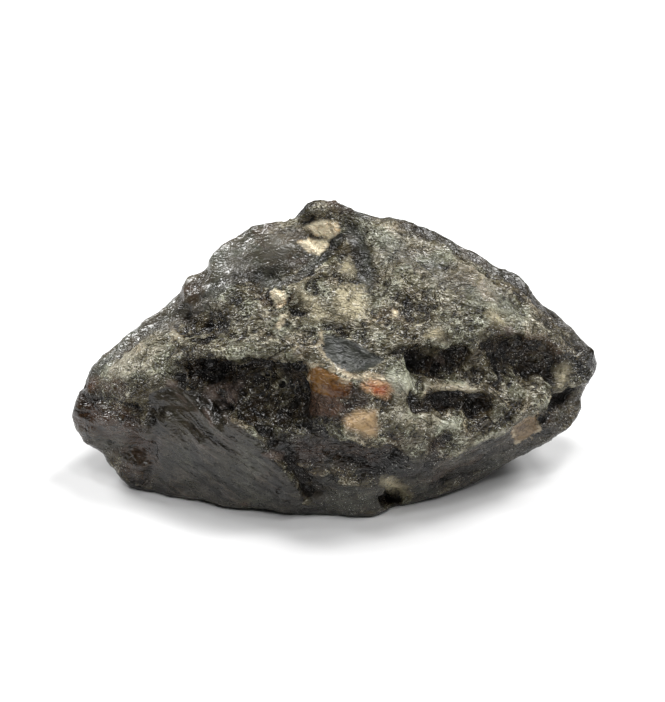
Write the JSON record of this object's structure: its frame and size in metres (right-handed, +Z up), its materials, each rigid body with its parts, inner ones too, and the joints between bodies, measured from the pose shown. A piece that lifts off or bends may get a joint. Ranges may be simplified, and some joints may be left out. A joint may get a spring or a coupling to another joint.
{
  "type": "lunar meteorite",
  "caption": "Angular dark breccia stone with a ridged crest, a ledge over a dark hollow, pale and amber clasts and a flattened underside to rest on.",
  "frame": {"origin": "on the plane the stone rests on, under the centre of its bounding box", "axes": "+X along the longest side towards the pointed end, +Y away from the face with the clasts, +Z up"},
  "size_m": [0.05, 0.0248, 0.0262],
  "materials": {
    "breccia": "glossy where worn, finely granular, with pale and amber clasts"
  },
  "bodies": {
    "root": {"meteorite": "breccia"}
  },
  "joints": []
}
